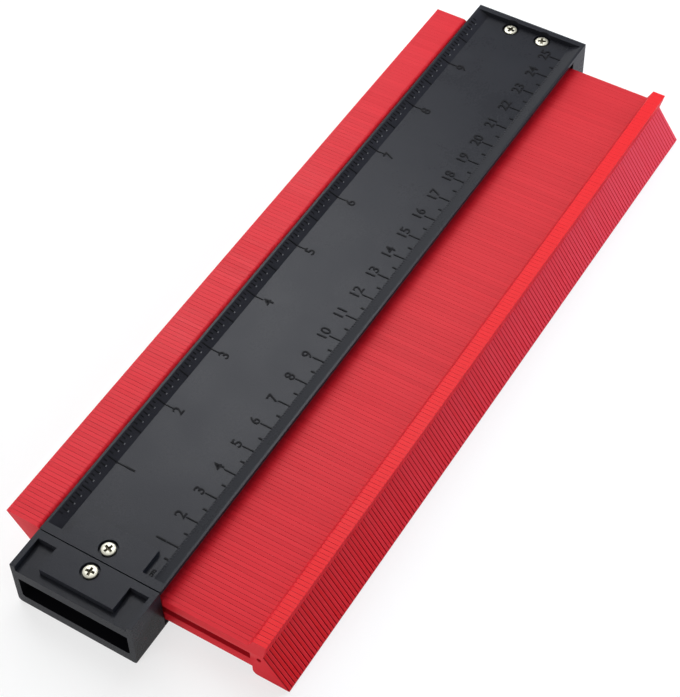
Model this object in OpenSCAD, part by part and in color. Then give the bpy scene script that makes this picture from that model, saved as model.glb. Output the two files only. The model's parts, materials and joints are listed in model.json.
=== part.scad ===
// Contour gauge: a flat body with a moulded scale on top, through which a row of
// thin leaf pins slides crosswise. The pins copy a profile and friction holds them.
// Origin: centre of the base face. +X runs along the body, away from the end cap.
// At rest every pin is pushed to the -Y side, with its rear shoulder against the body.

/* [Body] */
// Width of the body, across the pins
body_w = 43; // [38:0.5:50]
// Height of the body
body_h = 19; // [17.5:0.5:24]
// Length of the end cap
cap_len = 14.5; // [13:0.5:20]
// Length of the solid block at the far end
far_block_len = 9.5; // [8:0.5:16]
// Radius of the long lower edges of the body
edge_r = 1.5; // [0.5:0.1:2]
// Length of the near block, which plugs into the end cap
block_len = 7.5; // [6.8:0.1:9]
// Depth of the feet of the cover and the end cap, below the cover's underside
foot_h = 2; // [1:0.1:3]

/* [Scale cover] */
// Depth of the trough that carries the scale
trough_depth = 1.6; // [0.8:0.1:1.8]
// Width of the sloping side of the trough
trough_slope_w = 4.1; // [2:0.1:5]
// Width of the land left on each long rim
rim_land = 0.8; // [0.5:0.1:1.5]
// Thickness of the rim across the far end
far_rim_t = 2.2; // [1:0.1:3]
// Thickness of the thin lip over the pins, along both long rims
lip_t = 1.4; // [1:0.1:2]
// Distance from the side of the body to the foot of the lip, under the cover
lip_reach = 3.5; // [2:0.1:4]

/* [Plateau across the seam] */
// Width of the raised plateau that carries the two near screws
plateau_w = 26.2; // [20:0.2:27]
// Length of the plateau on each side of the seam
plateau_len = 11.5; // [9:0.1:12]
// Length of the full-width wings on each side of the seam
wing_len = 3; // [2:0.1:5]
// Depth of the recess in the end cap, around the plateau
cap_recess = 2.1; // [1:0.1:3]
// Thickness of the side rims of the end cap, beside the recess
cap_rim_t = 1.75; // [1:0.05:2]

/* [Socket in the end cap] */
// Thickness of the walls beside the socket
socket_wall_t = 2.15; // [1.5:0.05:4]
// Height of the floor under the socket
socket_floor = 3.9; // [3:0.1:5]
// Radius of the lower corners of the socket
socket_r = 1; // [0.3:0.1:2]

/* [Pins] */
// Distance from one pin to the next
pin_pitch = 1.51; // [1.3:0.01:2]
// Gap between two neighbouring pins
pin_gap = 0.11; // [0.05:0.01:0.2]
// Pins that travel together as one bank
pins_per_bank = 5; // [3:1:6]
// Number of banks along the body
bank_count = 34; // [20:1:36]
// Travel of a pin through the body
pin_travel = 30; // [15:0.5:40]
// Length of each head, from its shoulder to its tip
head_len = 12.4; // [11.5:0.1:16]
// Height by which the heads stay inside the top and the base of the body
head_inset = 0.3; // [0.1:0.1:0.6]
// Height of the stem between the heads
stem_h = 10.6; // [9:0.1:11.4]
// Radius of the rounded corner of a head, beside the body
head_corner_r = 1.8; // [0.5:0.1:3]
// Height of the small land at the tip
tip_land = 0.4; // [0.2:0.1:1]
// Distance from the tip to the foot of the sloping face, under the ridge
slope_run = 8.1; // [6:0.1:9]
// Height of the ridge above the foot of the sloping face
ridge_h = 6.2; // [4:0.1:7]
// Distance from the tip to the outer edge of the ridge
ridge_out = 6.7; // [5:0.1:8]
// Width of the flat top of the ridge
ridge_w = 4.5; // [2.5:0.1:5]
// Distance from the shoulder to the foot of the ridge's inner flank
ridge_foot = 0.8; // [0:0.1:1]
// Height of the long slot in the stem
slot_h = 3; // [2.4:0.1:4]
// Distance from the shoulder to the end of the slot
slot_inset = 0.4; // [0:0.1:4]
// Diameter of the small hole in each head
hole_d = 1.6; // [0.8:0.1:2]
// Distance from the tip to the small hole
hole_run = 9.8; // [9:0.1:10.5]

/* [Guide bar and friction strips] */
// Width of the bar that runs through the slots of all pins
bar_w = 8; // [5:0.5:8.5]
// Length of the bar inside the far block
bar_seat = 6; // [3:0.5:7]
// Width of a friction strip
strip_w = 4; // [2:0.5:5]
// Thickness of a friction strip
strip_t = 0.9; // [0.6:0.05:1.1]
// Distance of the middle of a strip from the side of the body
strip_inset = 6.3; // [5.5:0.1:6.5]

/* [Joint plate and screws] */
// Thickness of the plate that joins the cover to the end cap
plate_t = 1.2; // [0.8:0.1:1.5]
// Width of the joint plate
plate_w = 18; // [12:0.5:22]
// Length of the joint plate on each side of the seam
plate_len = 8; // [7:0.1:8.5]
// Distance between the two screws that straddle the seam
near_screw_pitch = 9; // [8:0.1:10]
// Distance between the two screws at the far end
far_screw_pitch = 12.7; // [12.4:0.1:20]
// Diameter of the screw heads
screw_head_d = 5.2; // [4:0.1:6]
// Height of the screw heads
screw_head_h = 1.1; // [0.8:0.1:1.3]
// Diameter of the screw shanks
screw_d = 2.9; // [2:0.1:3.2]
// Length of the shank below the head, on the long screws
screw_len = 12.5; // [10:0.5:13]

/* [Fits] */
// Gap between the pins and the housing or cover, above and below the stems
pin_clear = 0.25; // [0.15:0.05:0.4]
// Gap between a shoulder and the body at the end of the travel
stop_gap = 0.1; // [0.05:0.01:0.3]
// Gap between the pin pack and the walls at its two ends
end_gap = 0.15; // [0.1:0.05:0.5]
// Gap between the bar and the slots, above and below it
bar_clear = 0.3; // [0.15:0.05:0.5]
// Gap round parts that are pushed together by hand
fit_gap = 0.05; // [0.02:0.01:0.1]
// Gap round a screw head in its counterbore
head_gap = 0.5; // [0.2:0.05:0.7]
// Gap between a friction strip and the pins
strip_gap = 0.05; // [0.02:0.01:0.2]

/* [Hidden] */
$fn = 48;
// Cuts reach this far past the faces that they open
past = 1;

// Places along the body
pin_count = pins_per_bank * bank_count;
pin_t = pin_pitch - pin_gap;
cavity_len = pin_count * pin_pitch + 2 * end_gap;
body_len = cap_len + cavity_len + far_block_len;
near_x = -body_len / 2;
far_x = body_len / 2;
seam_x = near_x + cap_len;
far_block_x = far_x - far_block_len;
block_x = seam_x - block_len;
cap_screw_x = seam_x - near_screw_pitch / 2;
cover_screw_x = seam_x + near_screw_pitch / 2;
far_screw_x = far_x - far_block_len / 2;

// Heights
mid_z = body_h / 2;
stem_bottom = mid_z - stem_h / 2;
stem_top = mid_z + stem_h / 2;
floor_t = stem_bottom - pin_clear;
cover_z = stem_top + pin_clear;
shelf_z = cover_z - foot_h;
lower_strip_z = stem_bottom - strip_gap - strip_t;
upper_strip_z = stem_top + strip_gap;
trough_z = body_h - trough_depth;
recess_z = body_h - cap_recess;
bar_h = slot_h - 2 * bar_clear;
plate_z = cover_z + fit_gap;
plate_top = plate_z + plate_t;
near_head_z = body_h - screw_head_h;
far_head_z = trough_z - screw_head_h;

// Widths
socket_w = body_w - 2 * socket_wall_t;
rim_y = body_w / 2 - rim_land;
trough_floor_y = rim_y - trough_slope_w;
lip_y = body_w / 2 - lip_reach;
strip_y = body_w / 2 - strip_inset;

// Pins
head_h = body_h - 2 * head_inset;
shoulder_span = body_w + pin_travel + 2 * stop_gap;
pin_len = shoulder_span + 2 * head_len;
rest_y = -pin_travel / 2;

// Relief along the upper edges of the floor, which clears the flank of a ridge at the end of the travel
flank_run = head_len + ridge_foot - ridge_out - ridge_w;
flank_rise = (head_h - stem_h) / 2;
relief_w = ridge_foot + pin_clear;
relief_h = relief_w * flank_rise / flank_run;

// Bores
counterbore_d = screw_head_d + 2 * head_gap;
shank_bore_d = screw_d + 2 * fit_gap;

BODY_NODES = [
    "bottom_housing", "scale_cover", "end_cap", "joint_plate", "guide_bar",
    "upper_front_strip", "upper_rear_strip", "lower_front_strip", "lower_rear_strip",
    "cap_screw", "cover_screw", "far_screws"
];

function bank_name(i) = str("pin_bank_", i < 10 ? "0" : "", i);

// Extrudes an outline drawn in Y and Z from x0 to x1
module along_x(x0, x1) {
    translate([x0, 0, 0])
        rotate([90, 0, 90])
            linear_extrude(x1 - x0)
                children();
}

// Rectangle centred on the body's middle plane, between two heights
module band(w, z0, z1) {
    translate([-w / 2, z0])
        square([w, z1 - z0]);
}

// Band whose two lower corners are round
module tray(w, z0, z1, r) {
    band(w, z0 + r, z1);
    band(w - 2 * r, z0, z1);
    for (side = [-1, 1])
        translate([side * (w / 2 - r), z0 + r])
            circle(r);
}

// Upright cylinder at a place along and across the body
module post(x, y, z0, z1, d) {
    translate([x, y, z0])
        cylinder(d = d, h = z1 - z0);
}

// Body

// Tray under the pins, with a block at each end that carries the cover, the end cap and the bar
module bottom_housing() {
    color([0.16, 0.17, 0.17])
        difference() {
            union() {
                along_x(seam_x, far_x)
                    floor_section();
                along_x(far_block_x, far_x)
                    tray(body_w, 0, shelf_z, edge_r);
                along_x(block_x, seam_x)
                    band(socket_w - 2 * fit_gap, 0, shelf_z);
            }
            along_x(block_x - past, far_block_x + bar_seat)
                band(bar_w + 2 * fit_gap, mid_z - bar_h / 2 - fit_gap, mid_z + bar_h / 2 + fit_gap);
            for (side = [-1, 1])
                strip_groove(side, lower_strip_z, floor_t + past);
            pilot_bore(cap_screw_x, 0, near_head_z);
            for (side = [-1, 1])
                pilot_bore(far_screw_x, side * far_screw_pitch / 2, far_head_z);
        }
}

// Floor along the pins, relieved along both upper edges
module floor_section() {
    tray(body_w, 0, floor_t - relief_h, edge_r);
    polygon([
        [-body_w / 2, floor_t - relief_h], [body_w / 2, floor_t - relief_h],
        [body_w / 2 - relief_w, floor_t], [relief_w - body_w / 2, floor_t]
    ]);
}

// Blind bore for the shank of a long screw
module pilot_bore(x, y, head_z) {
    post(x, y, head_z - screw_len - past, shelf_z + past, shank_bore_d);
}

// Groove for one friction strip, over the whole pin pack
module strip_groove(side, z0, z1) {
    translate([0, side * strip_y, 0])
        along_x(seam_x, far_block_x)
            band(strip_w + 2 * fit_gap, z0, z1);
}

module scale_cover() {
    color([0.18, 0.19, 0.19])
        difference() {
            union() {
                along_x(seam_x, far_x)
                    cover_section();
                along_x(far_block_x, far_x)
                    band(body_w, shelf_z, body_h);
            }
            difference() {
                along_x(seam_x + wing_len, far_x - far_rim_t)
                    trough_section();
                along_x(seam_x, seam_x + plateau_len)
                    band(plateau_w, 0, body_h + 2 * past);
            }
            plate_slot(seam_x - past, seam_x + plate_len + fit_gap, cover_z - past);
            for (side = [-1, 1])
                strip_groove(side, cover_z - past, upper_strip_z + strip_t);
            screw_hole(cover_screw_x, 0, near_head_z, plate_z);
            for (side = [-1, 1])
                screw_hole(far_screw_x, side * far_screw_pitch / 2, far_head_z, shelf_z);
        }
}

// Cover along the pins: a thick floor, with a thin lip at each long rim that rises clear of them
module cover_section() {
    polygon([
        [-lip_y, cover_z], [lip_y, cover_z],
        [body_w / 2, body_h - lip_t], [body_w / 2, body_h],
        [-body_w / 2, body_h], [-body_w / 2, body_h - lip_t]
    ]);
}

module trough_section() {
    polygon([
        [-trough_floor_y, trough_z], [trough_floor_y, trough_z],
        [rim_y, body_h], [rim_y, body_h + past],
        [-rim_y, body_h + past], [-rim_y, body_h]
    ]);
}

// Counterbore for a screw head, with a clearance hole below it
module screw_hole(x, y, head_z, z0) {
    post(x, y, head_z, body_h + past, counterbore_d);
    post(x, y, z0 - past, head_z + past, shank_bore_d);
}

// Slot that takes the joint plate, open towards the seam
module plate_slot(x0, x1, z0) {
    along_x(x0, x1)
        band(plate_w + 2 * fit_gap, z0, plate_top);
}

// Sleeve over the near block, with a socket in its end face
module end_cap() {
    color([0.18, 0.19, 0.19])
        difference() {
            along_x(near_x, seam_x)
                tray(body_w, 0, body_h, edge_r);
            along_x(near_x - past, block_x + past)
                tray(socket_w, socket_floor, shelf_z, socket_r);
            along_x(block_x, seam_x + past)
                band(socket_w, -past, shelf_z);
            difference() {
                along_x(near_x - past, seam_x - wing_len)
                    band(body_w - 2 * cap_rim_t, recess_z, body_h + past);
                along_x(seam_x - plateau_len, seam_x)
                    band(plateau_w, 0, body_h + 2 * past);
            }
            plate_slot(seam_x - plate_len - fit_gap, seam_x + past, plate_z);
            screw_hole(cap_screw_x, 0, near_head_z, shelf_z);
        }
}

// Inner pieces

// Steel plate under the plateau: it carries the cover screw and lies in slots on both sides of the seam
module joint_plate() {
    color("silver")
        difference() {
            along_x(seam_x - plate_len, seam_x + plate_len)
                band(plate_w, plate_z, plate_top);
            for (x = [cap_screw_x, cover_screw_x])
                post(x, 0, plate_z - past, plate_top + past, shank_bore_d);
        }
}

// Flat steel bar that runs through the slots of all pins and is pinned by the cap screw
module guide_bar() {
    color("silver")
        difference() {
            along_x(block_x, far_block_x + bar_seat)
                band(bar_w, mid_z - bar_h / 2, mid_z + bar_h / 2);
            post(cap_screw_x, 0, mid_z - bar_h, mid_z + bar_h, shank_bore_d);
        }
}

// Foam strip that rubs on the pins, from a height z0
module friction_strip(side, z0) {
    color([0.35, 0.35, 0.33])
        translate([0, side * strip_y, 0])
            along_x(seam_x + fit_gap, far_block_x - fit_gap)
                band(strip_w, z0, z0 + strip_t);
}

module upper_front_strip() {
    friction_strip(-1, upper_strip_z);
}

module upper_rear_strip() {
    friction_strip(1, upper_strip_z);
}

module lower_front_strip() {
    friction_strip(-1, lower_strip_z);
}

module lower_rear_strip() {
    friction_strip(1, lower_strip_z);
}

// Screws

// Screw with a flat round head that rests at head_z
module screw(x, y, head_z, shank_len) {
    color([0.78, 0.78, 0.76]) {
        post(x, y, head_z, head_z + screw_head_h, screw_head_d);
        post(x, y, head_z - shank_len, head_z + screw_head_h / 2, screw_d);
    }
}

module cap_screw() {
    screw(cap_screw_x, 0, near_head_z, screw_len);
}

module cover_screw() {
    screw(cover_screw_x, 0, near_head_z, near_head_z - plate_z);
}

module far_screws() {
    for (side = [-1, 1])
        screw(far_screw_x, side * far_screw_pitch / 2, far_head_z, screw_len);
}

// Pins

// Front head, with the middle of the pin at the origin: tip, slope, ridge and shoulder
module head_outline() {
    head_z = head_h / 2;
    stem_z = stem_h / 2;
    slope_z = head_z - ridge_h;
    translate([-pin_len / 2, 0])
        difference() {
            polygon([
                [0, -head_z], [head_len, -head_z], [head_len, -stem_z],
                [head_len + ridge_foot, -stem_z], [head_len + ridge_foot, stem_z],
                [ridge_out + ridge_w, head_z], [ridge_out, head_z],
                [slope_run, slope_z], [0, tip_land - head_z]
            ]);
            translate([head_len - head_corner_r, -head_z])
                corner_cut(head_corner_r);
            translate([hole_run, 0])
                circle(d = hole_d);
        }
}

// What a round corner of radius r takes away from a square one
module corner_cut(r) {
    difference() {
        translate([0, -past])
            square([r + past, r + past]);
        translate([0, r])
            circle(r);
    }
}

// Whole pin: a slotted stem with the same head on both ends, turned half round
module pin_outline() {
    slot_len = shoulder_span - 2 * slot_inset;
    difference() {
        union() {
            square([shoulder_span, stem_h], center = true);
            for (turn = [0, 180])
                rotate(turn)
                    head_outline();
        }
        square([slot_len, slot_h], center = true);
    }
}

module pin(i) {
    x = seam_x + end_gap + i * pin_pitch + pin_gap / 2;
    translate([0, rest_y, mid_z])
        along_x(x, x + pin_t)
            pin_outline();
}

// Neighbouring pins, counted from the end cap
module pin_bank(i) {
    color([0.85, 0.2, 0.22])
        for (k = [0 : pins_per_bank - 1])
            pin((i - 1) * pins_per_bank + k);
}

bottom_housing();
scale_cover();
end_cap();
joint_plate();
guide_bar();
upper_front_strip();
upper_rear_strip();
lower_front_strip();
lower_rear_strip();
cap_screw();
cover_screw();
far_screws();
for (i = [1 : bank_count])
    pin_bank(i);
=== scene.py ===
# %% [markdown]
# # A contour gauge
#
# A contour gauge copies a profile: thin red leaf pins slide crosswise through a flat black body, and
# friction holds them where the work pushed them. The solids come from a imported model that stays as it
# is. This lesson dresses them: it softens moulded edges, lays the raised scale, cuts the cross recesses
# of the screws, gives each pin its own tone, and sets up the light and the camera.

# %% Load the frame
import json
import math

import bmesh
import bpy
from mathutils import Euler, Matrix, Vector

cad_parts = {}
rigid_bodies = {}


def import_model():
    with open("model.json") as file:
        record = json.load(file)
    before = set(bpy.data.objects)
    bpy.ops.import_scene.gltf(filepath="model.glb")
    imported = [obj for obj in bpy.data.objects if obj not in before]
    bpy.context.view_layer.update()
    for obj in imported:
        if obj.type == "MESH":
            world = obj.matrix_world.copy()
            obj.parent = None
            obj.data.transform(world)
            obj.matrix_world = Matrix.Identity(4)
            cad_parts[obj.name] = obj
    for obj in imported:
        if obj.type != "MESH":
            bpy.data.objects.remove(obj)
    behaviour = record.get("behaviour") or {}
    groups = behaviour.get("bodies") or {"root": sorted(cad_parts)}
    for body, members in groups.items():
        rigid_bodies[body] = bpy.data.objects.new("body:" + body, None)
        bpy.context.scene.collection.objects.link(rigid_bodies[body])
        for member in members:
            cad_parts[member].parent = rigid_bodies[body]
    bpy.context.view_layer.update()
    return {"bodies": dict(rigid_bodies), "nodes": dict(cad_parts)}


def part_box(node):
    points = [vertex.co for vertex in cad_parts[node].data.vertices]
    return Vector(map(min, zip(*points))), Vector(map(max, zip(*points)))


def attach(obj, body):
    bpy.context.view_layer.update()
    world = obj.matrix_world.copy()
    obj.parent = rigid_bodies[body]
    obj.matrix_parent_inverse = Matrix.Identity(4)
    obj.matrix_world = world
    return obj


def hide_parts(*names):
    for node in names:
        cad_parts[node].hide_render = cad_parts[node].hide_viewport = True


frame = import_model()
MM = 0.001
BODY = "gauge_body"
BANKS = sorted(name for name in frame["bodies"] if name.startswith("pin_bank"))
print("nodes:", len(frame["nodes"]), "banks of pins:", len(BANKS))

# %% [markdown]
# ## Places read from the frame
#
# The scale, the screws and the pins all sit on solids, so their places come from the boxes of those
# solids and not from numbers typed twice. The seam is where the scale cover meets the end cap.

# %% Read the places
cover_low, cover_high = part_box("scale_cover")
cap_low, cap_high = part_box("end_cap")
bank_low, bank_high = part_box(BANKS[0])
next_low, next_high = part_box(BANKS[1])
PINS_PER_BANK = 5
PIN_PITCH = (next_low[0] - bank_low[0]) / PINS_PER_BANK
PIN_THICKNESS = bank_high[0] - bank_low[0] - (PINS_PER_BANK - 1) * PIN_PITCH
PIN_GAP = PIN_PITCH - PIN_THICKNESS
ROW_LENGTH = len(BANKS) * PINS_PER_BANK * PIN_PITCH
SEAM_X = cover_low[0]
TOP_Z = cover_high[2]
SIDE_Y = cover_high[1]
print(f"pin pitch {PIN_PITCH / MM:.2f} mm, thickness {PIN_THICKNESS / MM:.2f} mm, gap {PIN_GAP / MM:.2f} mm")
print(f"row of pins {ROW_LENGTH / MM:.1f} mm, seam at {SEAM_X / MM:.1f} mm")

# %% [markdown]
# ## Shader arithmetic
#
# A finish is a small node tree. Wiring it by hand hides what it does, so a value on a socket is wrapped
# in a class whose operators add Math nodes, and every other node comes from one method.


# %% A value that does arithmetic, and a finish that holds its nodes
class Value:
    """A socket's output. Arithmetic on it adds Math nodes to its finish."""

    def __init__(self, finish, socket):
        self.finish = finish
        self.socket = socket

    def _math(self, operation, first, second):
        return self.finish.node("ShaderNodeMath", {"operation": operation}, {0: first, 1: second})

    def __add__(self, other):
        return self._math("ADD", self, other)

    def __sub__(self, other):
        return self._math("SUBTRACT", self, other)

    def __rsub__(self, other):
        return self._math("SUBTRACT", other, self)

    def __mul__(self, other):
        return self._math("MULTIPLY", self, other)

    __radd__ = __add__
    __rmul__ = __mul__


class Finish:
    """A material with one Principled shader and the nodes that feed it."""

    def __init__(self, name, **constants):
        self.material = bpy.data.materials.new(name)
        self.material.use_nodes = True
        self.tree = self.material.node_tree
        self.shader = self.tree.nodes["Principled BSDF"]
        for socket, value in constants.items():
            self.shader.inputs[socket.replace("_", " ")].default_value = value

    def node(self, kind, settings=None, inputs=None, output=0):
        made = self.tree.nodes.new(kind)
        for key, value in (settings or {}).items():
            setattr(made, key, value)
        for key, value in (inputs or {}).items():
            if isinstance(value, Value):
                self.tree.links.new(value.socket, made.inputs[key])
            else:
                made.inputs[key].default_value = value
        return Value(self, made.outputs[output])

    def place(self, stretch=(1, 1, 1)):
        spot = self.node("ShaderNodeTexCoord", output="Object")
        return self.node("ShaderNodeMapping", inputs={"Vector": spot, "Scale": stretch})

    def noise(self, spot, scale, detail=2.0):
        return self.node("ShaderNodeTexNoise", inputs={"Vector": spot, "Scale": scale, "Detail": detail})

    def mix(self, amount, first, second):
        colours = [colour if isinstance(colour, Value) else (*colour, 1) for colour in (first, second)]
        inputs = {0: amount, 6: colours[0], 7: colours[1]}
        return self.node("ShaderNodeMix", {"data_type": "RGBA"}, inputs, output=2)

    def feed(self, **links):
        for socket, value in links.items():
            self.tree.links.new(value.socket, self.shader.inputs[socket.replace("_", " ")])

    def bump(self, height, distance, strength):
        inputs = {"Height": height, "Distance": distance, "Strength": strength}
        self.feed(Normal=self.node("ShaderNodeBump", inputs=inputs))


# %% [markdown]
# ## Black moulded plastic
#
# The body is injection moulded in black plastic with a fine spark-eroded texture. It is never one flat
# grey: the sheen drifts where the plastic cooled unevenly, and the texture breaks up the reflection.
# Noise at three sizes does that, and it fits a piece of any shape. The inch band, the raised marks, the
# millimetre marks, the tips of the eighth marks and the inside of the socket are the same plastic with
# painted light: the inch band, rougher as well, and the socket are painted darker as shade, the raised
# marks are painted darker as the shade of their relief, and the millimetre marks and the eighth tips are
# painted lighter as highlights where they catch the light.


# %% Make the black finishes
DRIFT_SCALE = 55
SPECKLE_SCALE = 1700
GRAIN_SCALE = 4200


def black_plastic(name, dark, light, roughness, sheen=0.2):
    finish = Finish(name, Specular_IOR_Level=sheen)
    spot = finish.place()
    drift = finish.noise(spot, DRIFT_SCALE, 3)
    speckle = finish.noise(spot, SPECKLE_SCALE, 2)
    grain = finish.noise(spot, GRAIN_SCALE, 2)
    finish.feed(Base_Color=finish.mix(drift * 0.65 + speckle * 0.35, dark, light))
    finish.feed(Roughness=drift * 0.16 + speckle * 0.08 + roughness)
    finish.bump(grain * 0.7 + speckle * 0.5, 0.00006, 0.5)
    return finish.material


BLACK = black_plastic("black_moulded_plastic", (0.0106, 0.0112, 0.0142), (0.0187, 0.0197, 0.0242), 0.17, 0.05)
# Painted shade: the walls inside the socket take this near-black as the shade in the socket.
SOCKET_SHADE = black_plastic("black_core_finish", (0.002, 0.002, 0.003), (0.004, 0.004, 0.005), 0.6, 0.05)
# Painted shade: the inch band is darker because its slope faces away from the key lamp; it is also rougher.
BAND_SHADE = black_plastic("black_inch_band", (0.004, 0.004, 0.006), (0.028, 0.028, 0.033), 0.6, 0.03)
# Painted shade: the raised ribs and figures are darker than the body, standing for the shade along their
# relief.
RAISED_SHADE = black_plastic("black_raised_marks", (0.003, 0.003, 0.004), (0.009, 0.009, 0.010), 0.42, 0.04)
# Painted highlight: the millimetre marks are lighter than the body, standing for the light they catch on the
# slope.
MARK_HIGHLIGHT = black_plastic("scuffed_marks", (0.018, 0.018, 0.021), (0.05, 0.05, 0.056), 0.35, 0.08)
# Painted highlight: the lower ends of the eighth marks are much lighter, standing for the glint they catch.
TIP_GLINT = black_plastic("worn_mark_tips", (0.08, 0.08, 0.085), (0.16, 0.16, 0.17), 0.35)
print("black finishes made")

# %% [markdown]
# ## Red moulded plastic
#
# The pins are moulded a few at a time, so no two neighbours have quite the same tone. Each pin carries
# an attribute named tone, set where the pins are laid out, and the finish reads it. Three more attributes
# mark faces of a pin, and each carries painted light: the ridge is painted lighter as a highlight, the
# sloping tip carries a painted sheen that turns pinker towards the far end, and the groove beside the tip
# is painted dark as shade. Along the row the stems are painted darker towards the far end as shade, and
# the painted shade in the grooves fades there.
# Faint streaks run along the pin, the way the melt flowed.


# %% Make the red finish
# Painted shade in the grooves between neighbouring tips; it fades towards the far end.
GROOVE_SHADE = 1.0
# Painted highlight: the ridge tops are mixed towards a lighter red, standing for the extra light they catch
# above the body.
RIDGE_HIGHLIGHT = 0.8
# Painted shade: the stems darken towards the far end, evening out the key lamp that sits near that end.
FAR_SHADE = 0.28
FAR_GROOVE_LOSS = 0.7


def red_plastic():
    finish = Finish("red_moulded_plastic", Specular_IOR_Level=0.085)
    tone, groove, ridge, tip = [
        finish.node("ShaderNodeAttribute", {"attribute_name": name}, output="Fac")
        for name in ("tone", "groove", "ridge", "tip")
    ]
    along = finish.node("ShaderNodeSeparateXYZ", inputs={0: finish.place()}) * (1 / ROW_LENGTH) + 0.5
    streak = finish.noise(finish.place((1, 0.06, 1)), 900, 3)
    cloud = finish.noise(finish.place(), 45, 2)
    shade = tone * 0.6 + streak * 0.25 + cloud * 0.25
    pin_red = finish.mix(shade, (0.51, 0.0095, 0.018), (0.61, 0.0175, 0.028))
    # Painted shade deepening the stems towards the far end.
    open_face = finish.mix(along * FAR_SHADE, pin_red, (0.40, 0.0042, 0.009))
    # Painted sheen on the sloping tips: deeper red near, pinker towards the far end, standing for the
    # reflection they catch.
    tip_sheen = finish.mix(along + shade * 0.3 - 0.15, (0.55, 0.0055, 0.010), (0.55, 0.043, 0.068))
    # Painted highlight on the ridge tops.
    ridge_lit = finish.mix(ridge * RIDGE_HIGHLIGHT, finish.mix(tip, open_face, tip_sheen), (0.70, 0.010, 0.014))
    # Painted shade in the grooves beside the tips, fading towards the far end.
    painted_groove_shade = groove * (GROOVE_SHADE - along * FAR_GROOVE_LOSS)
    finish.feed(Base_Color=finish.mix(painted_groove_shade, ridge_lit, (0.19, 0.002, 0.006)))
    finish.feed(Roughness=streak * 0.12 + cloud * 0.1 + 0.34)
    grain = finish.noise(finish.place(), 3800, 2)
    finish.bump(streak * 0.6 + grain * 0.5, 0.00005, 0.25)
    return finish.material


RED = red_plastic()
print("red finish made")

# %% [markdown]
# ## Metals and foam
#
# The screws are bright plated steel. The plate and the bar inside are plain rolled steel, with streaks
# along the rolling direction, and the friction strips are closed-cell foam. Noise stretched along one
# axis gives the streaks, and a pattern of cells gives the foam, so neither needs a picture.


# %% Make the metal and foam finishes
def metal(name, dark, light, roughness, stretch):
    finish = Finish(name, Metallic=1.0)
    streak = finish.noise(finish.place(stretch), 1500, 3)
    cloud = finish.noise(finish.place(), 300, 2)
    finish.feed(Base_Color=finish.mix(cloud, dark, light))
    finish.feed(Roughness=streak * 0.16 + cloud * 0.08 + roughness)
    finish.bump(streak, 0.00002, 0.2)
    return finish.material


def foam():
    finish = Finish("grey_foam", Specular_IOR_Level=0.2)
    cells = finish.node("ShaderNodeTexVoronoi", inputs={"Vector": finish.place(), "Scale": 2600})
    finish.feed(Base_Color=finish.mix(cells, (0.05, 0.05, 0.05), (0.12, 0.12, 0.115)))
    finish.feed(Roughness=cells * 0.1 + 0.85)
    finish.bump(cells, 0.0002, 0.6)
    return finish.material


PLATED = metal("bright_plated_steel", (0.30, 0.293, 0.24), (0.43, 0.42, 0.36), 0.38, (1, 1, 1))
# The faces sunk in the cross take this darker metal: dirt in the recess and painted shade there.
RECESS = metal("dark_recess", (0.08, 0.072, 0.050), (0.15, 0.136, 0.098), 0.5, (1, 1, 1))
ROLLED = metal("rolled_steel", (0.42, 0.42, 0.43), (0.56, 0.56, 0.57), 0.28, (0.05, 1, 1))
FOAM = foam()
HIDDEN_FINISH = {"joint_plate": ROLLED, "guide_bar": ROLLED}
for node in frame["nodes"]:
    if node.endswith("_strip"):
        HIDDEN_FINISH[node] = FOAM
for node, material in HIDDEN_FINISH.items():
    frame["nodes"][node].data.materials.clear()
    frame["nodes"][node].data.materials.append(material)
print("inner pieces finished:", sorted(HIDDEN_FINISH))

# %% [markdown]
# ## Moulded shells with soft edges
#
# A moulded edge is never sharp, and its thin highlight is what makes plastic look like plastic. The cover,
# the end cap and the housing are copies of their solids: the copy is merged, its flat triangles are
# joined into whole faces, and a narrow bevel goes round every edge and along every fold of the trough.
# Weighted normals then keep the large faces flat, so each facet takes its own light. The cap stands back
# from the cover by a hair, and the gap shows as the seam.


# %% Helpers that add a piece and soften a copy of a solid
def add_piece(name, mesh, body=BODY, material=None):
    piece = bpy.data.objects.new(name, mesh)
    bpy.context.scene.collection.objects.link(piece)
    if material:
        mesh.materials.clear()
        mesh.materials.append(material)
    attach(piece, body)
    return piece


def merged_copy(node):
    shape = bmesh.new()
    shape.from_mesh(frame["nodes"][node].data)
    bmesh.ops.remove_doubles(shape, verts=shape.verts, dist=1e-6)
    return shape


def join_flat_faces(shape):
    bmesh.ops.dissolve_limit(shape, angle_limit=math.radians(0.5), verts=shape.verts, edges=shape.edges)


def soften(shape, width, fold=math.radians(15)):
    """Bevels every edge that turns by more than the fold angle."""
    edges = [edge for edge in shape.edges if len(edge.link_faces) == 2 and edge.calc_face_angle() > fold]
    settings = {"segments": 2, "profile": 0.5, "affect": "EDGES", "clamp_overlap": True}
    bmesh.ops.bevel(shape, geom=edges, offset=width, **settings)


def finished_mesh(name, shape, smooth_angle=math.radians(35)):
    mesh = bpy.data.meshes.new(name)
    shape.to_mesh(mesh)
    shape.free()
    mesh.shade_smooth()
    mesh.set_sharp_from_angle(angle=smooth_angle)
    return mesh


def modified_mesh(mesh, kind, **settings):
    """A plain mesh that has gone through one modifier."""
    holder = bpy.data.objects.new(mesh.name, mesh)
    bpy.context.scene.collection.objects.link(holder)
    modifier = holder.modifiers.new("step", kind)
    for key, value in settings.items():
        setattr(modifier, key, value)
    depsgraph = bpy.context.evaluated_depsgraph_get()
    result = bpy.data.meshes.new_from_object(holder.evaluated_get(depsgraph), depsgraph=depsgraph)
    holder.modifiers.remove(modifier)
    bpy.data.objects.remove(holder)
    return result


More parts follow.
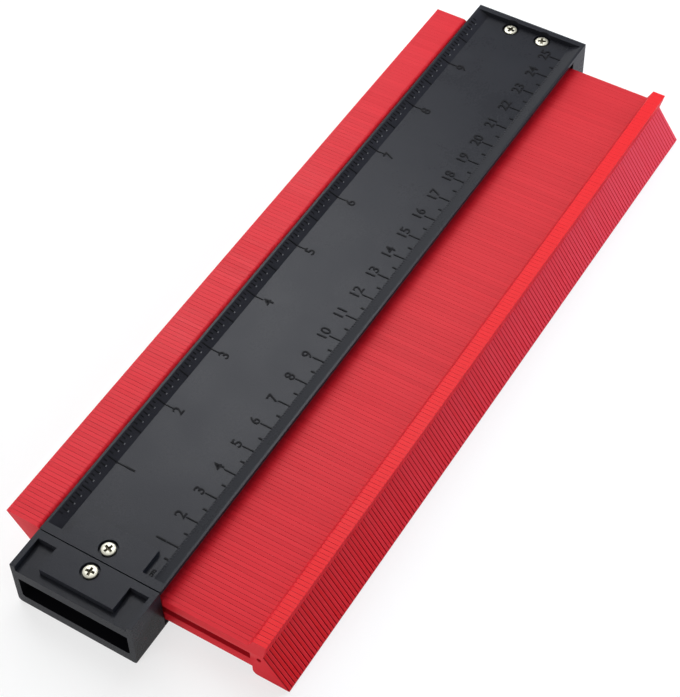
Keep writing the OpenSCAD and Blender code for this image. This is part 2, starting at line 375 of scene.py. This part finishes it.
# %% Faces of the shells that take a darker black as painted shade
SOCKET_LOW = (cap_low[0] + 0.4 * MM, -19.45 * MM, 3.8 * MM)
SOCKET_HIGH = (cap_high[0], 19.45 * MM, 13.15 * MM)
BAND_SIDE = 15 * MM
BAND_AREA = 1e-5


def on_inch_band(face):
    """True on the trough's sloping side along the back, which carries the inch marks."""
    sloping = face.normal.y < -0.2 and face.normal.z > 0.8
    return sloping and face.center.y > BAND_SIDE and face.area > BAND_AREA


def in_socket(point):
    """True on the walls inside the end cap's socket."""
    return all(SOCKET_LOW[axis] < point[axis] < SOCKET_HIGH[axis] for axis in range(3))


# %% Soften the three shells
SEAM_GAP = 0.35 * MM
EDGE = {"scale_cover": 0.24 * MM, "end_cap": 0.32 * MM, "bottom_housing": 0.3 * MM}
for node, width in EDGE.items():
    shell = merged_copy(node)
    join_flat_faces(shell)
    if node == "end_cap":
        for vert in shell.verts:
            if abs(vert.co.x - SEAM_X) < SEAM_GAP / 2:
                vert.co.x -= SEAM_GAP
    soften(shell, width)
    mesh = finished_mesh(node, shell, math.radians(60))
    mesh = modified_mesh(mesh, "WEIGHTED_NORMAL", weight=90, keep_sharp=True)
    piece = add_piece("moulded_" + node, mesh, material=BLACK)
    if node == "end_cap":
        # The walls inside the socket take the near-black as painted shade.
        mesh.materials.append(SOCKET_SHADE)
        for face in mesh.polygons:
            face.material_index = int(in_socket(face.center))
    if node == "scale_cover":
        # The sloping inch band takes the darker black as painted shade.
        mesh.materials.append(BAND_SHADE)
        for face in mesh.polygons:
            face.material_index = int(on_inch_band(face))
    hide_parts(node)
    print(piece.name, "faces:", len(piece.data.polygons))

# %% [markdown]
# ## One leaf pin
#
# A pin is a flat leaf with a slotted stem, a head at each end, a ridge, a sloping tip and a shoulder.
# The first leaf of the first bank is copied out of its solid. A weighted bevel chamfers it: by a hair
# round the edges, and by a third of a millimetre along the sloping tips. Where two tips lie side by side
# their chamfers make the groove between them, and the red finish paints it dark as shade. Attributes tell
# the red finish which face is which.

# %% Copy out the first pin
leaf = merged_copy(BANKS[0])
others = [vert for vert in leaf.verts if vert.co.x > bank_low[0] + PIN_THICKNESS + PIN_GAP / 2]
bmesh.ops.delete(leaf, geom=others, context="VERTS")
join_flat_faces(leaf)
bmesh.ops.translate(leaf, verts=leaf.verts, vec=(-bank_low[0] - PIN_THICKNESS / 2, 0, 0))
leaf.normal_update()
print("one pin has", len(leaf.faces), "faces before its chamfers")


# %% Chamfer it, widest along the sloping tips
PIN_CHAMFER = 0.02 * MM
TIP_CHAMFER = 0.32 * MM


def on_tip(normal, area, least):
    """True on the two large sloping faces at the ends of a pin."""
    return abs(normal.y) > 0.7 and abs(normal.z) > 0.5 and area > least


weight = leaf.edges.layers.float.new("bevel_weight_edge")
for edge in leaf.edges:
    beside = any(abs(face.normal.x) > 0.9 for face in edge.link_faces)
    if beside and any(on_tip(face.normal, face.calc_area(), 1e-5) for face in edge.link_faces):
        edge[weight] = 1.0
    elif edge.calc_face_angle(0) > math.radians(30):
        edge[weight] = PIN_CHAMFER / TIP_CHAMFER
pin_mesh = finished_mesh("leaf_pin", leaf)
pin_mesh = modified_mesh(pin_mesh, "BEVEL", limit_method="WEIGHT", width=TIP_CHAMFER, segments=1)
pin_mesh.shade_smooth()
pin_mesh.set_sharp_from_angle(angle=math.radians(35))
print("one pin has", len(pin_mesh.polygons), "faces")

# %% Mark the pin's faces for the red finish
FACE_MARKS = ("groove", "ridge", "tip")
for name in FACE_MARKS:
    pin_mesh.attributes.new(name, "FLOAT", "FACE")
RIDGE_Z = bank_high[2] - 0.2 * MM
for face in pin_mesh.polygons:
    found = {
        "groove": 0.3 < abs(face.normal.x) < 0.9 and face.area > 2e-6,
        "ridge": face.normal.z > 0.9 and face.center.z > RIDGE_Z and face.center.y < 0,
        "tip": on_tip(face.normal, face.area, 5e-6),
    }
    for name, value in found.items():
        pin_mesh.attributes[name].data[face.index].value = float(value)
pin = bpy.data.objects.new("leaf_pin", pin_mesh)
print("face attributes:", FACE_MARKS)

# %% [markdown]
# ## Banks of pins
#
# Geometry Nodes lay the pin out along the body: a line of points at the pitch, the pin on each point, a
# hair of play up or down, and a tone for each pin. Towards the far end the leaves fill more of their
# pitch, so the lines between them get finer. Everything random has a seed, so each run gives the same
# row. The instances are made real at the end, because an exported piece has to be a plain mesh.


# %% A small builder for node trees
class Layout:
    """A Geometry Nodes tree with named inputs."""

    def __init__(self, name):
        self.tree = bpy.data.node_groups.new(name, "GeometryNodeTree")
        self.tree.interface.new_socket("Geometry", in_out="OUTPUT", socket_type="NodeSocketGeometry")
        self.start = self.tree.nodes.new("NodeGroupInput")
        self.end = self.tree.nodes.new("NodeGroupOutput")

    def input(self, name, kind):
        self.tree.interface.new_socket(name, in_out="INPUT", socket_type="NodeSocket" + kind)
        return self.start.outputs[name]

    def node(self, kind, settings=None, inputs=None, output=0):
        made = self.tree.nodes.new(kind)
        for key, value in (settings or {}).items():
            setattr(made, key, value)
        for key, value in (inputs or {}).items():
            if isinstance(value, bpy.types.NodeSocket):
                self.tree.links.new(value, made.inputs[key])
            else:
                made.inputs[key].default_value = value
        return made.outputs[output]

    def finish(self, geometry, material):
        real = self.node("GeometryNodeRealizeInstances", inputs={"Geometry": geometry})
        coloured = self.node("GeometryNodeSetMaterial", inputs={"Geometry": real, "Material": material})
        self.tree.links.new(coloured, self.end.inputs[0])

    def mesh(self, name, **values):
        """Runs the tree with these inputs and returns the result as a plain mesh."""
        carrier = bpy.data.objects.new(name, bpy.data.meshes.new(name + "_carrier"))
        bpy.context.scene.collection.objects.link(carrier)
        modifier = carrier.modifiers.new("layout", "NODES")
        modifier.node_group = self.tree
        for item in self.tree.interface.items_tree:
            if item.in_out == "INPUT":
                modifier[item.identifier] = values[item.name.replace(" ", "_").lower()]
        depsgraph = bpy.context.evaluated_depsgraph_get()
        mesh = bpy.data.meshes.new_from_object(carrier.evaluated_get(depsgraph), depsgraph=depsgraph)
        carrier.modifiers.remove(modifier)
        bpy.data.objects.remove(carrier)
        mesh.name = name
        return mesh


# %% The tree that lays out one bank
def pin_layout():
    layout = Layout("row_of_leaf_pins")
    leaf_object = layout.input("Leaf", "Object")
    count = layout.input("Count", "Int")
    step = layout.input("Step", "Vector")
    start = layout.input("Start", "Vector")
    size = layout.input("Size", "Vector")
    play = layout.input("Play", "Float")
    seed = layout.input("Seed", "Int")
    material = layout.input("Material", "Material")
    places = {"Count": count, "Start Location": start, "Offset": step}
    line = layout.node("GeometryNodeMeshLine", inputs=places)
    source = {"Object": leaf_object, "As Instance": True}
    shape = layout.node("GeometryNodeObjectInfo", inputs=source, output="Geometry")
    on_line = {"Points": line, "Instance": shape, "Scale": size}
    row = layout.node("GeometryNodeInstanceOnPoints", inputs=on_line)
    lift = layout.node("FunctionNodeRandomValue", inputs={"Min": -1.0, "Max": 1.0, "Seed": seed}, output=1)
    height = layout.node("ShaderNodeMath", {"operation": "MULTIPLY"}, {0: lift, 1: play})
    shift = layout.node("ShaderNodeCombineXYZ", inputs={"Z": height})
    moved = layout.node("GeometryNodeTranslateInstances", inputs={"Instances": row, "Translation": shift})
    other_seed = layout.node("ShaderNodeMath", {"operation": "ADD"}, {0: seed, 1: 500.0})
    tone = layout.node("FunctionNodeRandomValue", inputs={"Seed": other_seed}, output=1)
    stored = layout.node(
        "GeometryNodeStoreNamedAttribute",
        {"data_type": "FLOAT", "domain": "INSTANCE"},
        {"Geometry": moved, "Name": "tone", "Value": tone},
    )
    layout.finish(stored, material)
    return layout


# %% Lay out the banks
PIN_PLAY = 0.015 * MM
SWELL_NEAR = 0.01 * MM
SWELL_FAR = 0.09 * MM
bank_layout = pin_layout()
for number, bank in enumerate(BANKS):
    low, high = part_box(bank)
    along = number / (len(BANKS) - 1)
    swell = SWELL_NEAR + (SWELL_FAR - SWELL_NEAR) * along
    mesh = bank_layout.mesh(
        "leaves_" + bank,
        leaf=pin,
        count=PINS_PER_BANK,
        step=(PIN_PITCH, 0, 0),
        start=(low[0] + PIN_THICKNESS / 2, 0, 0),
        size=(1 + swell / PIN_THICKNESS, 1, 1),
        play=PIN_PLAY,
        seed=number,
        material=RED,
    )
    piece = add_piece("leaves_" + bank, mesh, body=bank)
    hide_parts(bank)
bpy.data.objects.remove(pin)
print("banks laid out:", len(BANKS), "faces in each:", len(mesh.polygons))

# %% [markdown]
# ## Cross-recess screws
#
# Four bright screws hold the gauge together. Each is spun from a profile, as on a lathe: a flat head with
# a rounded rim and a plain shank. A tapered cross is then cut out of the head, turned a little further on
# each screw, as a driver leaves it. A bump could fake the cross, but it would vanish from the side, so it
# is real geometry.


# %% A turned screw with a cross cut into its head
CROSS_REACH = 2.1 * MM
CROSS_HALF = 0.62 * MM
CROSS_DEPTH = 0.8 * MM


def turned(profile, steps=48):
    shape = bmesh.new()
    verts = [shape.verts.new((radius, 0, height)) for radius, height in profile]
    edges = [shape.edges.new(pair) for pair in zip(verts, verts[1:])]
    geometry = verts + edges
    bmesh.ops.spin(shape, geom=geometry, cent=(0, 0, 0), axis=(0, 0, 1), angle=2 * math.pi, steps=steps)
    bmesh.ops.remove_doubles(shape, verts=shape.verts, dist=1e-7)
    bmesh.ops.recalc_face_normals(shape, faces=shape.faces)
    return shape


def cross_cutter(reach, half, painted_groove_shade, top):
    corners = []
    for x, y in ((1, 0), (0, 1), (-1, 0), (0, -1)):
        corners.append((x * reach + y * half, y * reach - x * half))
        corners.append((x * reach - y * half, y * reach + x * half))
        corners.append(((x - y) * half, (x + y) * half))
    shape = bmesh.new()
    upper = [shape.verts.new((x, y, top + painted_groove_shade)) for x, y in corners]
    lower = [shape.verts.new((0.4 * x, 0.4 * y, top - painted_groove_shade)) for x, y in corners]
    shape.faces.new(upper)
    shape.faces.new(lower)
    for index in range(len(corners)):
        shape.faces.new((upper[index - 1], upper[index], lower[index], lower[index - 1]))
    bmesh.ops.recalc_face_normals(shape, faces=shape.faces)
    return shape


def screw_mesh(name, radius, head, length, turn):
    rim = 0.25 * MM
    shank = 1.45 * MM
    point = 0.5 * MM
    edge = 0.05 * MM
    profile = [
        (0, head),
        (radius * 0.6, head),
        (radius - rim, head - rim * 0.25),
        (radius - rim * 0.3, head - rim * 0.6),
        (radius, head - rim * 1.3),
        (radius, edge),
        (radius - edge, 0),
        (shank, 0),
        (shank, point - length),
        (shank - point, -length),
        (0, -length),
    ]
    body = finished_mesh(name, turned(profile))
    cross = finished_mesh(name + "_cross", cross_cutter(CROSS_REACH, CROSS_HALF, CROSS_DEPTH, head))
    cross.transform(Matrix.Rotation(turn, 4, "Z"))
    cutter = bpy.data.objects.new(name + "_cross", cross)
    bpy.context.scene.collection.objects.link(cutter)
    mesh = modified_mesh(body, "BOOLEAN", operation="DIFFERENCE", object=cutter)
    bpy.data.objects.remove(cutter)
    return mesh


# %% Put the screws where the solids are
def in_cross(point, low, high):
    """True near the axis of a screw, where the cross is cut."""
    centre_x = (low[0] + high[0]) / 2
    centre_y = math.copysign((high[1] - low[1]) / 2 - HEAD_RADIUS, point.y)
    return math.hypot(point.x - centre_x, point.y - centre_y) < HEAD_RADIUS * 0.75


HEAD_HEIGHT = 1.1 * MM
HEAD_PLAY = 0.28 * MM
HEAD_RADIUS = (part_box("cap_screw")[1][0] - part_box("cap_screw")[0][0]) / 2
SCREW_TURN = {"cap_screw": (0.12,), "cover_screw": (-0.35,), "far_screws": (0.4, -0.2)}
for node, turns in SCREW_TURN.items():
    low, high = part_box(node)
    length = high[2] - low[2] - HEAD_HEIGHT
    spread = (high[1] - low[1]) / 2 - HEAD_RADIUS
    whole = bmesh.new()
    for turn, side in zip(turns, (-1, 1)):
        one = screw_mesh(node, HEAD_RADIUS - HEAD_PLAY, HEAD_HEIGHT, length, turn)
        across = side * spread if len(turns) > 1 else 0
        one.transform(Matrix.Translation(((low[0] + high[0]) / 2, across, high[2] - HEAD_HEIGHT)))
        whole.from_mesh(one)
    mesh = finished_mesh(node, whole, math.radians(30))
    piece = add_piece("turned_" + node, mesh, material=PLATED)
    # The cross's sunk faces get the darker metal, as dirt and painted shade in the recess.
    piece.data.materials.append(RECESS)
    for face in piece.data.polygons:
        sunk = high[2] - face.center.z
        deep = 0.1 * MM < sunk < 1.0 * MM
        face.material_index = int(deep and face.area < 3e-6 and in_cross(face.center, low, high))
    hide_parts(node)
    print(piece.name, "faces:", len(piece.data.polygons))

# %% [markdown]
# ## The raised scale
#
# The scale is moulded into the cover as fine ribs: centimetres along the front, inches along the back.
# The inch marks climb the sloping side of the trough. Every row of marks is one tree with a count, a
# pitch and a rib, so a new row is one call.

# %% Where the scale sits on the cover
FLOOR_Z = TOP_Z - 1.6 * MM
SLOPE_FOOT_Y = SIDE_Y - 4.9 * MM
SLOPE_TOP_Y = SIDE_Y - 0.8 * MM
SLOPE_TILT = math.atan2(TOP_Z - FLOOR_Z, SLOPE_TOP_Y - SLOPE_FOOT_Y)
CM_ZERO = SEAM_X + 5.9 * MM
INCH_ZERO = SEAM_X + 6.25 * MM
INCH = 25.4 * MM
RIB_HEIGHT = 0.16 * MM
RIB_SINK = 0.05 * MM


# %% The tree that lays out a row of ribs
def rib_layout():
    layout = Layout("row_of_ribs")
    count = layout.input("Count", "Int")
    step = layout.input("Step", "Vector")
    start = layout.input("Start", "Vector")
    size = layout.input("Size", "Vector")
    tilt = layout.input("Tilt", "Vector")
    material = layout.input("Material", "Material")
    places = {"Count": count, "Start Location": start, "Offset": step}
    line = layout.node("GeometryNodeMeshLine", inputs=places)
    rib = layout.node("GeometryNodeMeshCube", inputs={"Size": size})
    turned_rib = layout.node("FunctionNodeEulerToRotation", inputs={0: tilt})
    on_line = {"Points": line, "Instance": rib, "Rotation": turned_rib}
    row = layout.node("GeometryNodeInstanceOnPoints", inputs=on_line)
    layout.finish(row, material)
    return layout


ribs = rib_layout()


# Unless given another finish, the ribs take the darker black as painted shade.
def rib_row(name, row, place, size, tilt=0.0, material=RAISED_SHADE, height=RIB_HEIGHT):
    """A row of ribs: its count and step, the first rib's place, and a rib's length and width."""
    count, step = row
    x, y, z = place
    length, width = size
    mesh = ribs.mesh(
        name,
        count=count,
        step=(step, 0, 0),
        start=(x, y, z + (height - RIB_SINK) / 2),
        size=(width, length, height + RIB_SINK),
        tilt=(tilt, 0, 0),
        material=material,
    )
    add_piece(name, mesh)
    print(name, "ribs:", count)


def on_slope(share, side):
    """A point on a sloping side of the trough: share 0 is its foot and 1 its upper edge."""
    y = SLOPE_FOOT_Y + share * (SLOPE_TOP_Y - SLOPE_FOOT_Y)
    return side * y, FLOOR_Z + share * (TOP_Z - FLOOR_Z)


# %% Centimetre ribs along the front
CM = 10 * MM
CM_COUNT = 25
cm_foot = -SLOPE_FOOT_Y - 0.1 * MM
full_place = (CM_ZERO + CM, cm_foot + 2.1 * MM, FLOOR_Z)
rib_row("marks_centimetre", (CM_COUNT, CM), full_place, (4.0 * MM, 0.42 * MM))
half_place = (CM_ZERO + CM / 2, cm_foot + 0.9 * MM, FLOOR_Z)
rib_row("marks_half_centimetre", (CM_COUNT, CM), half_place, (1.3 * MM, 0.55 * MM))
fine_place = (CM_ZERO + CM / 10, *on_slope(0.12, -1))
fine_size = (0.8 * MM, 0.22 * MM)
# The millimetre marks take the lighter black as painted highlight.
rib_row("marks_millimetre", (10 * CM_COUNT, CM / 10), fine_place, fine_size, -SLOPE_TILT, MARK_HIGHLIGHT, 0.1 * MM)

# %% Inch ribs along the back
INCH_COUNT = 9
inch_place = (INCH_ZERO + INCH, SLOPE_FOOT_Y - 1.5 * MM, FLOOR_Z)
rib_row("marks_inch", (INCH_COUNT, INCH), inch_place, (3.0 * MM, 0.36 * MM))
climb_row = (2 * INCH_COUNT + 1, INCH / 2)
climb_place = (INCH_ZERO + INCH / 2, *on_slope(0.44, 1))
rib_row("marks_inch_on_slope", climb_row, climb_place, (3.7 * MM, 0.36 * MM), SLOPE_TILT)
eighths = (INCH_COUNT + 1, INCH)
for part in (1, 2, 3, 5, 6, 7):
    first = INCH_ZERO + part * INCH / 8
    mark_place = (first, *on_slope(0.65, 1))
    rib_row(f"marks_eighth_{part}", eighths, mark_place, (2.0 * MM, 0.32 * MM), SLOPE_TILT)
    tip_place = (first, *on_slope(0.42, 1))
    # The tips of the eighth marks take the pale black as a painted glint.
    rib_row(f"tips_eighth_{part}", eighths, tip_place, (0.34 * MM, 0.5 * MM), SLOPE_TILT, TIP_GLINT)
sixteenths = (8 * INCH_COUNT + 8, INCH / 8)
sixteenth_place = (INCH_ZERO + INCH / 16, *on_slope(0.74, 1))
rib_row("marks_sixteenth", sixteenths, sixteenth_place, (1.3 * MM, 0.3 * MM), SLOPE_TILT)

# %% [markdown]
# ## The numbers
#
# The figures are moulded on as raised strokes, as high as the ribs, in the darker black that stands as
# painted shade along their relief. Each could be drawn by hand, but text objects give clean strokes at
# once. Each is made a mesh first and only then moved to its place, and all the figures of one scale are
# joined into one piece.


# %% Set the figures
def figure_mesh(words, height):
    curve = bpy.data.curves.new("figure", "FONT")
    curve.body = words
    curve.align_x = "CENTER"
    curve.align_y = "CENTER"
    curve.size = height * 1.38
    curve.offset = 0.05 * MM
    curve.extrude = (RIB_HEIGHT + RIB_SINK) / 2
    curve.resolution_u = 3
    holder = bpy.data.objects.new("figure", curve)
    bpy.context.scene.collection.objects.link(holder)
    depsgraph = bpy.context.evaluated_depsgraph_get()
    mesh = bpy.data.meshes.new_from_object(holder.evaluated_get(depsgraph), depsgraph=depsgraph)
    bpy.data.objects.remove(holder)
    return mesh


def figures(name, words_and_places, height):
    whole = bmesh.new()
    for words, x, y in words_and_places:
        mesh = figure_mesh(words, height)
        mesh.transform(Matrix.Translation((x, y, FLOOR_Z + (RIB_HEIGHT - RIB_SINK) / 2)))
        whole.from_mesh(mesh)
    bmesh.ops.remove_doubles(whole, verts=whole.verts, dist=1e-7)
    piece = add_piece(name, finished_mesh(name, whole), material=RAISED_SHADE)
    print(name, "faces:", len(piece.data.polygons))


FIGURE_HEIGHT = 3.6 * MM
CM_ROW = -10.7 * MM
INCH_ROW = 11.6 * MM
cm_figures = [(str(count), CM_ZERO + 10 * count * MM, CM_ROW) for count in range(1, CM_COUNT + 1)]
inch_figures = [(str(count), INCH_ZERO + count * INCH, INCH_ROW) for count in range(1, INCH_COUNT + 1)]
figures("numbers_centimetre", cm_figures, FIGURE_HEIGHT)
figures("numbers_inch", inch_figures, FIGURE_HEIGHT)
figures("unit_sign", [("cm", CM_ZERO - 1.0 * MM, -15.0 * MM)], 1.7 * MM)

# %% [markdown]
# ## Studio
#
# The gauge lies on a plain white table. The table is pale because of its own colour, it glows a little for
# the rays that see it straight or in a mirror, and far from the gauge that glow rises to plain white. Near
# the gauge the table keeps the soft shadow.


# %% Table
TABLE_RAYS = ("Is Camera Ray", "Is Glossy Ray", "Is Transmission Ray")
TABLE_GLOW = 0.7
TABLE_REACH = 4
TABLE_Z = -0.05 * MM


def table_finish():
    finish = Finish("white_table", Specular_IOR_Level=0.1, Roughness=0.9)
    cloud = finish.noise(finish.place(), 3, 2)
    finish.feed(Base_Color=finish.mix(cloud, (0.93, 0.93, 0.93), (0.95, 0.95, 0.95)))
    seen = [finish.node("ShaderNodeLightPath", output=ray) for ray in TABLE_RAYS]
    glow = finish.node("ShaderNodeEmission", inputs={"Color": (1, 1, 1, 1), "Strength": 1.0})
    reach = finish.node("ShaderNodeVectorMath", {"operation": "LENGTH"}, {0: finish.place()}, output="Value")
    spread = {"Value": reach, "From Min": 0.3, "From Max": 0.9, "To Min": TABLE_GLOW, "To Max": 1.0}
    share = (seen[0] + seen[1] + seen[2]) * finish.node("ShaderNodeMapRange", inputs=spread)
    lit = Value(finish, finish.shader.outputs[0])
    both = finish.node("ShaderNodeMixShader", inputs={0: share, 1: lit, 2: glow})
    finish.tree.links.new(both.socket, finish.tree.nodes["Material Output"].inputs["Surface"])
    return finish.material


table = bmesh.new()
bmesh.ops.create_grid(table, x_segments=1, y_segments=1, size=TABLE_REACH)
bmesh.ops.translate(table, verts=table.verts, vec=(0, 0, TABLE_Z))
floor = bpy.data.objects.new("white_table", finished_mesh("white_table", table))
floor.data.materials.append(table_finish())
bpy.context.scene.collection.objects.link(floor)
print("table:", floor.name)

# %% [markdown]
# ## Light
#
# A large sheet at the back left gives the soft shadows. A smaller box in the same place is there only for
# reflections: it is what the smooth black trough mirrors. A box beside the end cap and a low fill at the
# far front open up the sides, and both are kept out of reflections, because a low lamp glares in a flat
# black face. A low strip at the back rims the far edges.


# %% Lamps
def soft_box(name, place, size, power, colour, mirrored=True, lighting=True):
    lamp = bpy.data.lights.new(name, "AREA")
    lamp.shape = "RECTANGLE"
    lamp.size, lamp.size_y = size
    lamp.energy = power
    lamp.color = colour
    holder = bpy.data.objects.new(name, lamp)
    holder.location = place
    holder.rotation_euler = (-Vector(place)).to_track_quat("-Z", "Y").to_euler()
    holder.visible_glossy = mirrored
    holder.visible_diffuse = lighting
    bpy.context.scene.collection.objects.link(holder)


soft_box("back_left_box", (0.41, 0.36, 0.74), (0.34, 0.34), 6.9, (0.97, 0.98, 1.0), lighting=False)
soft_box("back_left_sheet", (0.41, 0.36, 0.74), (0.9, 0.9), 11.2, (0.97, 0.98, 1.0), mirrored=False)
soft_box("near_left_box", (-1.05, 0.12, 0.40), (0.8, 0.8), 6.8, (1.0, 1.0, 1.0), mirrored=False)
soft_box("front_fill", (0.62, -0.42, 0.2), (0.4, 0.3), 7.8, (0.75, 0.85, 1.0), mirrored=False)
soft_box("low_back_strip", (0.68, 0.98, 0.40), (0.95, 0.35), 2.2, (0.94, 0.97, 1.0))
print("lamps:", sorted(lamp.name for lamp in bpy.data.lights))

# %% Room
ROOM_LIGHT = 0.13
world = bpy.data.worlds.new("pale_room")
world.use_nodes = True
room = world.node_tree
rays = room.nodes.new("ShaderNodeLightPath")
seen = room.nodes.new("ShaderNodeMath")
seen.operation = "MAXIMUM"
shown = room.nodes.new("ShaderNodeMath")
shown.operation = "MAXIMUM"
level = room.nodes.new("ShaderNodeMapRange")
level.inputs["To Min"].default_value = ROOM_LIGHT
room.links.new(rays.outputs["Is Camera Ray"], seen.inputs[0])
room.links.new(rays.outputs["Is Glossy Ray"], seen.inputs[1])
room.links.new(seen.outputs[0], shown.inputs[0])
room.links.new(rays.outputs["Is Transmission Ray"], shown.inputs[1])
room.links.new(shown.outputs[0], level.inputs["Value"])
room.links.new(level.outputs["Result"], room.nodes["Background"].inputs["Strength"])
room.nodes["Background"].inputs["Color"].default_value = (1, 1, 1, 1)
bpy.context.scene.world = world
bpy.context.scene.view_settings.view_transform = "Standard"
print("room light:", ROOM_LIGHT)

# %% [markdown]
# ## Camera
#
# The camera stands where the photograph was taken. Its place, turn and lens were solved from the marks of
# the scale and the corners of the body, so the marks fall where the photograph has them.

# %% Camera at the photograph's angle
CAMERA_PLACE = (-338.4 * MM, -224.2 * MM, 482.0 * MM)
CAMERA_TURN = (39.033, 1.312, -58.482)
CAMERA_LENS = 98.27
lens = bpy.data.cameras.new("camera")
lens.lens = CAMERA_LENS
lens.sensor_width = 36
lens.clip_start = 0.01
camera = bpy.data.objects.new("camera", lens)
camera.location = CAMERA_PLACE
camera.rotation_euler = Euler([math.radians(angle) for angle in CAMERA_TURN], "XYZ")
bpy.context.scene.collection.objects.link(camera)
bpy.context.scene.camera = camera
print("camera lens:", CAMERA_LENS, "mm")
